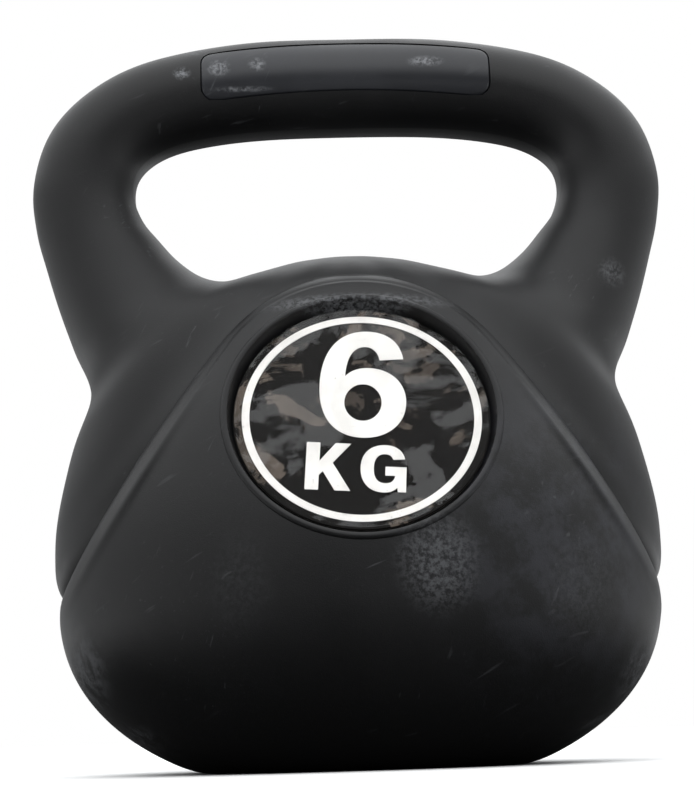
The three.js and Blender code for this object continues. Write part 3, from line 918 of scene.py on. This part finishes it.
def moulded_grain():
    """Fine tooth and slow waviness of a moulded surface."""
    def build(nodes, given):
        place = nodes.place()
        fine = nodes.noise(place, given["Fine scale"], 4.0, 0.6)
        slow = nodes.noise(place, given["Wave scale"], 2.0, 0.4)
        height = nodes.math("ADD", nodes.math("MULTIPLY", fine, given["Fine"]),
                            nodes.math("MULTIPLY", slow, given["Wave"]))
        cloud = nodes.noise(place, given["Cloud scale"], 5.0, 0.55)
        return {"Height": height, "Cloud": nodes.ramp(cloud, 0.32, 0.68)}
    return effect_group(
        "Moulded grain",
        [("Fine scale", "NodeSocketFloat", 2500.0), ("Fine", "NodeSocketFloat", 0.2),
         ("Wave scale", "NodeSocketFloat", 45.0), ("Wave", "NodeSocketFloat", 1.0),
         ("Cloud scale", "NodeSocketFloat", 22.0)],
        [("Height", "NodeSocketFloat"), ("Cloud", "NodeSocketFloat")], build)


# Directions of the scratches, as a turn in radians and the scale along each axis.
SCRATCH_WAYS = ((0.5, (34, 520, 260)), (2.1, (420, 60, 40)), (1.2, (60, 300, 900)))


def rub_marks():
    """Short scratches and speckled rubs, in patches."""
    def build(nodes, given):
        place = nodes.place()
        scratches = None
        for turn, stretch in SCRATCH_WAYS:
            turned = nodes.add("ShaderNodeVectorRotate", {
                "Vector": place, "Axis": (0.3, 1, 0.2), "Angle": turn}, rotation_type="AXIS_ANGLE")
            stretched = nodes.vector("MULTIPLY", turned.outputs[0], stretch)
            streak = nodes.noise(stretched, 1.0, 2.0, 0.5)
            full = nodes.math("ADD", given["Threshold"], 0.06)
            line = nodes.ramp(streak, given["Threshold"], full)
            scratches = line if scratches is None else nodes.math("MAXIMUM", scratches, line)
        patch = nodes.ramp(nodes.noise(place, 30.0, 3.0, 0.6), 0.46, 0.66)
        speckle = nodes.ramp(nodes.noise(place, 900.0, 3.0, 0.6), 0.62, 0.72)
        return {"Scratches": nodes.math("MULTIPLY", scratches, patch),
                "Speckle": nodes.math("MULTIPLY", speckle, patch)}
    return effect_group(
        "Rub marks", [("Threshold", "NodeSocketFloat", 0.7)],
        [("Scratches", "NodeSocketFloat"), ("Speckle", "NodeSocketFloat")], build)


SPOT_GRAIN = 700.0


def noisy_spot():
    """One spot round a centre, broken up by noise; it marks scuffs, the painted highlight, the
    painted edge reflections and the belly's bluish patch.
    """
    def build(nodes, given):
        place = nodes.place()
        away = nodes.vector("SUBTRACT", place, given["Centre"])
        scaled = nodes.vector("DIVIDE", away, given["Size"])
        near = nodes.ramp(nodes.vector("LENGTH", scaled, result="Value"), 1.0, 0.2)
        broken = nodes.ramp(nodes.noise(place, given["Grain"], 6.0, 0.75), 0.4, 0.62)
        return {"Mask": nodes.math("MULTIPLY", near, broken)}
    return effect_group(
        "Noisy spot",
        [("Centre", "NodeSocketVector", (0, 0, 0)),
         ("Size", "NodeSocketVector", (0.01, 0.01, 0.01)),
         ("Grain", "NodeSocketFloat", SPOT_GRAIN)],
        [("Mask", "NodeSocketFloat")], build)


def empty_nodes(data):
    """A material's or world's own node tree, emptied."""
    data.use_nodes = True
    data.node_tree.nodes.clear()
    return Nodes(data.node_tree)


def solid_material(name, grain_values, build):
    """A material of one shader: build gives its colour, roughness, bump height and depth.

    build may add more of the shader's inputs, by their names.
    """
    material = bpy.data.materials.new(name)
    nodes = empty_nodes(material)
    grain = nodes.group(moulded_grain(), **grain_values)
    colour_out, rough, height, depth, *others = build(nodes, grain)
    bump = nodes.add("ShaderNodeBump", {"Height": height, "Distance": depth})
    shader = nodes.add("ShaderNodeBsdfPrincipled", {
        "Base Color": colour_out, "Roughness": rough, "Normal": bump.outputs[0]})
    for inputs in others:
        nodes.feed(shader, inputs)
    nodes.add("ShaderNodeOutputMaterial", {"Surface": shader.outputs[0]})
    return material


def rgba(value, share=1.0):
    """A colour made brighter or darker by a share, with a full alpha."""
    return (*[part * share for part in value], 1.0)


# Scuffed places, as centre, size and strength.
SHELL_SCUFFS = (
    ((-0.051, -0.013, 0.214), (0.0035, 0.01, 0.003), 1.0),
    ((-0.047, -0.010, 0.223), (0.007, 0.01, 0.003), 0.35),
    ((0.019, -0.064, 0.056), (0.015, 0.02, 0.018), 0.36),
    ((-0.035, -0.060, 0.052), (0.012, 0.02, 0.02), 0.05),
    ((0.060, -0.050, 0.050), (0.016, 0.03, 0.02), 0.08),
    ((0.079, -0.020, 0.146), (0.006, 0.014, 0.006), 0.3),
)
INLAY_SCUFFS = (
    ((-0.0395, -0.014, 0.2155), (0.0045, 0.01, 0.0038), 1.0),
    ((-0.0275, -0.014, 0.2165), (0.0035, 0.01, 0.0032), 0.9),
    ((0.025, -0.014, 0.2165), (0.007, 0.01, 0.0025), 0.9),
    ((-0.032, -0.014, 0.2085), (0.012, 0.01, 0.0012), 0.7),
)
# Lighter patches on the belly's lower side edges, as centre, size and strength: painted reflection,
# broken up by scuffs.
EDGE_REFLECTION_AND_WEAR = (
    ((0.080, -0.020, 0.024), (0.012, 0.03, 0.015), 0.6),
    ((0.070, -0.020, 0.010), (0.012, 0.03, 0.006), 0.5),
    ((-0.080, -0.020, 0.030), (0.011, 0.03, 0.017), 0.5),
    ((-0.068, -0.020, 0.010), (0.014, 0.03, 0.006), 0.5),
)
EDGE_GRAIN = 190.0
# A lighter, bluish patch over the right of the belly, as centre, size and noise scale.
HAZE = ((0.055, -0.050, 0.062), (0.055, 0.05, 0.062), 70.0)


def scuffed(nodes, worn, scuffs, grain=SPOT_GRAIN):
    """Add noisy spots to a mask of wear, which on the shell also carries the painted highlight and
    painted reflections.
    """
    for centre, size, strength in scuffs:
        spot = nodes.group(noisy_spot(), Centre=centre, Size=size, Grain=grain)["Mask"]
        worn = nodes.math("ADD", worn, nodes.math("MULTIPLY", spot, strength), clamp=True)
    return worn


def shell_plastic(finish):
    """Black plastic, lighter and bluish on the belly's right, with scratches, scuffs, a painted
    highlight and painted edge reflections.
    """
    def build(nodes, grain):
        marks = nodes.group(rub_marks(), Threshold=0.69)
        worn = nodes.math("MULTIPLY", marks["Scratches"], 0.16)
        worn = nodes.math("ADD", worn, nodes.math("MULTIPLY", marks["Speckle"], 0.05))
        # A painted highlight on the top wall of the front recess, in the rubbed colour.
        wall_highlight = label_matrix("front") @ Vector((0, 37.6 * MM, 1.5 * MM))
        worn = scuffed(nodes, worn, SHELL_SCUFFS + ((tuple(wall_highlight), (0.034, 0.006, 0.0045), 0.8),))
        # Painted reflections along the lower side edges, broken up like scuffed gloss.
        worn = scuffed(nodes, worn, EDGE_REFLECTION_AND_WEAR, EDGE_GRAIN)
        # The haze: the right of the belly made lighter and bluish by place.
        centre, size, coarse = HAZE
        haze = nodes.group(noisy_spot(), Centre=centre, Size=size, Grain=coarse)["Mask"]
        base = nodes.mix(nodes.math("MULTIPLY", grain["Cloud"], 0.5),
                         rgba(finish.plastic), rgba(finish.plastic, 1.5))
        base = nodes.mix(haze, base, rgba(finish.haze))
        rough = nodes.ramp(
            grain["Cloud"], 0.0, 1.0, finish.roughness - 0.05, finish.roughness + 0.05)
        return (nodes.mix(worn, base, rgba(finish.worn)),
                nodes.math("ADD", rough, nodes.math("MULTIPLY", worn, 0.35)),
                nodes.math("ADD", grain["Height"], nodes.math("MULTIPLY", worn, 0.25)),
                0.00028, {"IOR": 1.42})
    return solid_material("Black moulded plastic", dict(
        Fine_scale=2600.0, Fine=0.16, Wave_scale=38.0, Wave=1.0, Cloud_scale=20.0), build)


def inlay_plastic(finish):
    def build(nodes, grain):
        marks = nodes.group(rub_marks(), Threshold=0.66)
        worn = scuffed(nodes, nodes.math("MULTIPLY", marks["Scratches"], 0.2), INLAY_SCUFFS)
        base = nodes.mix(grain["Cloud"], rgba(finish.inlay), rgba(finish.inlay, 1.35))
        rough = nodes.ramp(grain["Cloud"], 0.0, 1.0, 0.3, 0.4)
        return (nodes.mix(worn, base, rgba(finish.worn)),
                nodes.math("ADD", rough, nodes.math("MULTIPLY", worn, 0.3)),
                grain["Height"], 0.0002)
    return solid_material("Grip inlay plastic", dict(
        Fine_scale=3600.0, Fine=0.12, Wave_scale=60.0, Wave=0.4, Cloud_scale=34.0), build)


def plug_plastic(finish):
    def build(nodes, grain):
        marks = nodes.group(rub_marks(), Threshold=0.6)
        worn = nodes.math("MULTIPLY", marks["Scratches"], 0.6)
        base = nodes.mix(grain["Cloud"], rgba(finish.plastic, 1.3), rgba(finish.plastic, 2.2))
        return (nodes.mix(worn, base, rgba(finish.worn)),
                nodes.ramp(grain["Cloud"], 0.0, 1.0, 0.42, 0.56), grain["Height"], 0.0003)
    return solid_material("Plug plastic", dict(
        Fine_scale=2000.0, Fine=0.4, Wave_scale=120.0, Wave=0.3, Cloud_scale=90.0), build)


def set_cement(finish):
    """Grey cement with dark grit in it."""
    def build(nodes, grain):
        base = nodes.mix(grain["Cloud"], rgba(finish.cement), rgba(finish.cement, 0.6))
        grit = nodes.ramp(nodes.noise(nodes.place(), 1100.0, 2.0), 0.6, 0.68)
        return (nodes.mix(grit, base, (0.05, 0.045, 0.04, 1)),
                nodes.ramp(grain["Cloud"], 0.0, 1.0, 0.85, 0.97), grain["Height"], 0.0008)
    return solid_material("Set cement", dict(
        Fine_scale=700.0, Fine=0.8, Wave_scale=120.0, Wave=0.8, Cloud_scale=60.0), build)


def foam_tape(finish):
    def build(nodes, grain):
        return (nodes.mix(grain["Cloud"], rgba(finish.foam), rgba(finish.foam, 1.6)),
                nodes.ramp(grain["Cloud"], 0.0, 1.0, 0.8, 0.95), grain["Height"], 0.0003)
    return solid_material("Foam tape", dict(
        Fine_scale=1500.0, Fine=1.0, Wave_scale=80.0, Wave=0.2, Cloud_scale=50.0), build)


def label_ground(finish):
    """Gloss black print with hard-edged brown-grey patches of painted reflection, frayed at their
    edges.
    """
    def build(nodes, grain):
        place = nodes.place()
        # Hard-edged patches of painted reflection, with frayed streaks round their edges, rougher
        # than the black.
        bent = nodes.noise(place, 36.0, 6.0, 0.62, 1.6)
        patch = nodes.ramp(bent, 0.53, 0.56)
        streak = nodes.ramp(nodes.noise(place, 240.0, 5.0, 0.7), 0.52, 0.6)
        rim = nodes.math("MULTIPLY", nodes.ramp(bent, 0.5, 0.53), nodes.ramp(bent, 0.57, 0.54))
        glare = nodes.math("MULTIPLY", patch, nodes.ramp(grain["Cloud"], 0.0, 1.0, 0.35, 1.0))
        glare_fringe = nodes.math("MULTIPLY", rim, nodes.math("MULTIPLY", streak, 0.7))
        glare = nodes.math("ADD", glare, glare_fringe, clamp=True)
        return (nodes.mix(glare, rgba(finish.label_black), rgba(finish.label_glare)),
                nodes.ramp(glare, 0.0, 1.0, 0.12, 0.4), grain["Height"], 0.0003,
                {"Specular IOR Level": 0.08})
    return solid_material("Label ground", dict(
        Fine_scale=1800.0, Fine=0.1, Wave_scale=90.0, Wave=0.6, Cloud_scale=48.0), build)


def label_ink(finish):
    """Pale ink, rubbed thin in small places."""
    def build(nodes, grain):
        worn = nodes.ramp(nodes.noise(nodes.place(), 650.0, 4.0, 0.7), 0.64, 0.74)
        base = nodes.mix(grain["Cloud"], rgba(finish.print_pale), rgba(finish.print_pale, 0.86))
        return (nodes.mix(worn, base, rgba(finish.print_pale, 0.5)),
                nodes.ramp(grain["Cloud"], 0.0, 1.0, 0.35, 0.5), grain["Height"], 0.0001)
    return solid_material("Label print", dict(
        Fine_scale=2600.0, Fine=0.3, Wave_scale=200.0, Wave=0.2, Cloud_scale=110.0), build)


def clear_film():
    """Clear domed resin, too thin to bend light, with a slow, uneven surface."""
    material = bpy.data.materials.new("Clear film")
    nodes = empty_nodes(material)
    grain = nodes.group(moulded_grain(), Fine_scale=420.0, Fine=0.12, Wave_scale=75.0, Wave=1.0,
                        Cloud_scale=60.0)
    normal = nodes.add("ShaderNodeBump", {"Height": grain["Height"], "Distance": 0.0016}).outputs[0]
    facing = nodes.add("ShaderNodeLayerWeight", {"Blend": 0.5, "Normal": normal}).outputs["Facing"]
    grazing = nodes.math("MULTIPLY", nodes.math("POWER", facing, 5.0), 0.96)
    patch = nodes.noise(nodes.place(), 23.0, 7.0, 0.6, 2.2)
    shine = nodes.math("ADD", grazing, nodes.ramp(patch, 0.5, 0.56, 0.002, 0.04))
    back = nodes.add("ShaderNodeNewGeometry", {}).outputs["Backfacing"]
    shine = nodes.math("MULTIPLY", shine, nodes.math("SUBTRACT", 1.0, back))
    through = nodes.add("ShaderNodeBsdfTransparent", {"Color": (1, 1, 1, 1)}).outputs[0]
    gloss = nodes.add("ShaderNodeBsdfGlossy", {
        "Color": (1, 1, 1, 1), "Normal": normal,
        "Roughness": nodes.ramp(grain["Cloud"], 0.0, 1.0, 0.03, 0.12)}).outputs[0]
    nodes.add("ShaderNodeOutputMaterial", {"Surface": nodes.mix_shader(shine, through, gloss)})
    return material


def camera_ray(nodes):
    """1 for what the camera sees directly, 0 for light on its way to other things."""
    return nodes.add("ShaderNodeLightPath", {}).outputs["Is Camera Ray"]


def pale_floor(settings):
    """A floor that looks pale, and throws little light up at what stands on it."""
    material = bpy.data.materials.new("Pale floor")
    nodes = empty_nodes(material)
    shader = nodes.add("ShaderNodeBsdfPrincipled", {
        "Base Color": rgba(settings.floor), "Roughness": 0.9, "Specular IOR Level": 0.1})
    across = nodes.add("ShaderNodeSeparateXYZ", {0: nodes.place()}).outputs["X"]
    away = nodes.ramp(nodes.math("ABSOLUTE", across), 0.13, 0.45)
    tone = nodes.mix(away, rgba(settings.floor, 0.07), rgba(settings.floor))
    dim = nodes.add("ShaderNodeBsdfDiffuse", {"Color": tone}).outputs[0]
    mixed = nodes.mix_shader(camera_ray(nodes), dim, shader.outputs[0])
    nodes.add("ShaderNodeOutputMaterial", {"Surface": mixed})
    return material


def soft_surround(settings):
    """A bright ceiling and walls in a room that is dim near the floor, on a white backdrop."""
    world = bpy.data.worlds.new("Soft surround")
    nodes = empty_nodes(world)
    way = nodes.add("ShaderNodeTexCoord", {}).outputs["Generated"]
    split = nodes.add("ShaderNodeSeparateXYZ", {0: way}).outputs
    ceiling = nodes.ramp(split["Z"], 0.14, 0.6, settings.surround, settings.sky)
    back = nodes.ramp(split["Y"], 0.35, 0.85, 0.0, settings.backing)
    side = nodes.math("ABSOLUTE", split["X"])
    sides = nodes.ramp(side, 0.45, 0.95, 0.0, settings.backing * 1.1)
    light = nodes.math("MAXIMUM", ceiling, nodes.math("MAXIMUM", back, sides))
    lit, white = (
        nodes.add("ShaderNodeBackground", {"Color": tint, "Strength": strength}).outputs[0]
        for tint, strength in (((0.97, 0.985, 1.0, 1), light), ((1, 1, 1, 1), 1.0)))
    mixed = nodes.mix_shader(camera_ray(nodes), lit, white)
    nodes.add("ShaderNodeOutputWorld", {"Surface": mixed})
    return world


# ------------------------------------------------------------------- operators

class KETTLEBELL_OT_shell(bpy.types.Operator):
    """Build the blown shell: yoke and belly joined, recesses, pockets, hollow and plug hole cut"""
    bl_idname = "kettlebell.shell"
    bl_label = "Shell"

    def execute(self, context):
        s = context.scene.kettlebell_shell
        label = context.scene.kettlebell_label
        shell = add_object("blown_shell", yoke_mesh(s, "blown_shell", 0, 620, 132, SEAM_RISE))
        apron = apron_mesh(s, "apron", 0, 0, 720, 130, s.lip_radius)
        boolean(shell, "UNION", add_object("apron", apron))
        hollow = add_object("hollow", yoke_mesh(s, "hollow", s.wall, 120, 32, 0))
        low = apron_mesh(s, "hollow_low", s.wall, s.base_wall, 120, 30, 0)
        boolean(hollow, "UNION", add_object("hollow_low", low))
        for side in SIDES:
            boolean(hollow, "DIFFERENCE", recess_backing(label, side, s.wall))
        boolean(hollow, "DIFFERENCE", plug_collar(s.wall))
        for side in SIDES:
            boolean(shell, "UNION", recess_bead(s, label, side))
            boolean(shell, "DIFFERENCE", recess_cutter(label, side))
            boolean(shell, "DIFFERENCE", inlay_pocket(s, side))
        boolean(shell, "DIFFERENCE", hollow)
        boolean(shell, "DIFFERENCE", plug_hole())
        shell.data.name = "blown_shell"
        shell.data.shade_smooth()
        shell.data.set_sharp_from_angle(angle=math.radians(28))
        dress(shell, "root", shell_plastic(context.scene.kettlebell_finish), "shell", "shell")
        return {"FINISHED"}


class KETTLEBELL_OT_inlays(bpy.types.Operator):
    """Build the smooth inlays in the front and back of the grip"""
    bl_idname = "kettlebell.inlays"
    bl_label = "Grip inlays"

    def execute(self, context):
        material = inlay_plastic(context.scene.kettlebell_finish)
        for side in SIDES:
            mesh = inlay_mesh(context.scene.kettlebell_shell, side)
            mesh.set_sharp_from_angle(angle=math.radians(40))
            inlay = add_object(f"{side}_grip_inlay_moulding", mesh)
            dress(inlay, "root", material, "inlay", f"{side}_grip_inlay")
        return {"FINISHED"}


class KETTLEBELL_OT_plug(bpy.types.Operator):
    """Build the snap-in plug that closes the filling hole"""
    bl_idname = "kettlebell.plug"
    bl_label = "Fill plug"

    def execute(self, context):
        mesh = turned_mesh("snap_plug", plug_profile(), 120)
        mesh.set_sharp_from_angle(angle=math.radians(35))
        plug = add_object("snap_plug", mesh)
        dress(plug, "root", plug_plastic(context.scene.kettlebell_finish), "plug", "fill_plug")
        return {"FINISHED"}


class KETTLEBELL_OT_fill(bpy.types.Operator):
    """Give the cement fill and the foam pads their materials"""
    bl_idname = "kettlebell.fill"
    bl_label = "Cement and pads"

    def execute(self, context):
        finish = context.scene.kettlebell_finish
        foam = foam_tape(finish)
        materials = {"ballast_fill": set_cement(finish), "front_label_pad": foam,
                     "back_label_pad": foam}
        for node, material in materials.items():
            give_material(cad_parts[node], material)
        return {"FINISHED"}


class KETTLEBELL_OT_labels(bpy.types.Operator):
    """Build the weight labels: printed face, ring, figure, letters and clear film"""
    bl_idname = "kettlebell.labels"
    bl_label = "Weight labels"

    def execute(self, context):
        finish = context.scene.kettlebell_finish
        label = context.scene.kettlebell_label
        black, ink, film = label_ground(finish), label_ink(finish), clear_film()
        askew = Matrix.Rotation(ARTWORK_TURN, 4, "Z")
        for side in SIDES:
            place = label_matrix(side)
            self.piece(side, "label_disc", turned_mesh("disc", disc_profile(), 180), place,
                       black, "label", "face")
            self.piece(side, "label_band", ring_mesh("band", ring_profile(label.ring_line), 180),
                       place, ink, "print", "ring")
            for name, draw, height, left, bottom in LABEL_GLYPHS:
                splines, drawn = draw()
                mesh = glyph_curve(name, splines, PRINT_HIGH - PRINT_LOW, MM * height / drawn)
                shift = Matrix.Translation(
                    (left * MM, bottom * MM, (PRINT_LOW + PRINT_HIGH) / 2))
                self.piece(side, f"print_{name}", mesh, place @ askew @ shift, ink, "print", name)
            self.piece(side, "label_film", turned_mesh("film", film_profile(), 180), place,
                       film, "lens", "lens")
        return {"FINISHED"}

    @staticmethod
    def piece(side, name, mesh, place, material, slot, replaced):
        name = f"{side}_{name}"
        mesh.transform(place)
        mesh.name = name
        mesh.shade_smooth()
        mesh.set_sharp_from_angle(angle=math.radians(35))
        dress(add_object(name, mesh), "root", material, slot, f"{side}_label_{replaced}")


FLOOR_REACH = 6.0
FLOOR_Z = -0.2 * MM
PANEL_SIZE = (1.8, 1.0)
PANEL_PLACE = Vector((0.0, -1.3, 1.5))
PANEL_AIM = Vector((0, 0, 0.12))
CAMERA_LENS = 84.2
CAMERA_SENSOR = 36
CAMERA_PLACE = Vector((-0.0238, -0.5796, 0.010))
CAMERA_AIM = Vector((-0.0021, 0, 0.1103))
CAMERA_ROLL = math.radians(-1.8)


def aimed(place, aim):
    """The turn that points a lamp or camera from its place at its aim."""
    return (aim - place).to_track_quat("-Z", "Y")


class KETTLEBELL_OT_stage(bpy.types.Operator):
    """Set the floor, the soft lights and the camera"""
    bl_idname = "kettlebell.stage"
    bl_label = "Stage"

    def execute(self, context):
        settings = context.scene.kettlebell_stage
        corners = [(x * FLOOR_REACH, y * FLOOR_REACH, FLOOR_Z)
                   for x, y in ((-1, -1), (1, -1), (1, 1), (-1, 1))]
        floor = add_object("floor", mesh_from("floor", corners, [(0, 1, 2, 3)], smooth=False))
        give_material(floor, pale_floor(settings))
        light = bpy.data.lights.new("front_panel", "AREA")
        light.shape = "RECTANGLE"
        light.size, light.size_y = PANEL_SIZE
        light.energy = settings.key_power
        lamp = add_object("front_panel", light)
        lamp.location = PANEL_PLACE
        lamp.rotation_euler = aimed(PANEL_PLACE, PANEL_AIM).to_euler()
        lamp.visible_glossy = False
        context.scene.world = soft_surround(settings)
        context.scene.view_settings.view_transform = "Standard"
        camera = bpy.data.cameras.new("camera")
        camera.lens = CAMERA_LENS
        camera.sensor_width = CAMERA_SENSOR
        viewer = add_object("camera", camera)
        turn = aimed(CAMERA_PLACE, CAMERA_AIM).to_matrix().to_4x4()
        roll = Matrix.Rotation(CAMERA_ROLL, 4, "Z")
        viewer.matrix_world = Matrix.Translation(CAMERA_PLACE) @ turn @ roll
        context.scene.camera = viewer
        return {"FINISHED"}


class KETTLEBELL_PT_panel(bpy.types.Panel):
    """The operators, and the sizes, colours and lights that they use"""
    bl_idname = "KETTLEBELL_PT_panel"
    bl_label = "Kettlebell"
    bl_space_type = "VIEW_3D"
    bl_region_type = "UI"
    bl_category = "Kettlebell"

    def draw(self, context):
        for operator in OPERATORS:
            self.layout.operator(operator.bl_idname)
        for group in GROUPS:
            box = self.layout.box()
            settings = getattr(context.scene, group)
            for key in settings.bl_rna.properties.keys():
                if key not in {"rna_type", "name"}:
                    box.prop(settings, key)


OPERATORS = (
    KETTLEBELL_OT_shell,
    KETTLEBELL_OT_inlays,
    KETTLEBELL_OT_plug,
    KETTLEBELL_OT_fill,
    KETTLEBELL_OT_labels,
    KETTLEBELL_OT_stage,
)
GROUPS = {
    "kettlebell_shell": KETTLEBELL_PG_shell,
    "kettlebell_label": KETTLEBELL_PG_label,
    "kettlebell_finish": KETTLEBELL_PG_finish,
    "kettlebell_stage": KETTLEBELL_PG_stage,
}
CLASSES = (*GROUPS.values(), *OPERATORS, KETTLEBELL_PT_panel)


def register():
    for cls in CLASSES:
        bpy.utils.register_class(cls)
    for name, cls in GROUPS.items():
        setattr(bpy.types.Scene, name, bpy.props.PointerProperty(type=cls))


def unregister():
    for name in GROUPS:
        delattr(bpy.types.Scene, name)
    for cls in reversed(CLASSES):
        bpy.utils.unregister_class(cls)


def main():
    register()
    bpy.ops.kettlebell.shell()
    bpy.ops.kettlebell.inlays()
    bpy.ops.kettlebell.plug()
    bpy.ops.kettlebell.fill()
    bpy.ops.kettlebell.labels()
    bpy.ops.kettlebell.stage()


if __name__ == "__main__":
    main()
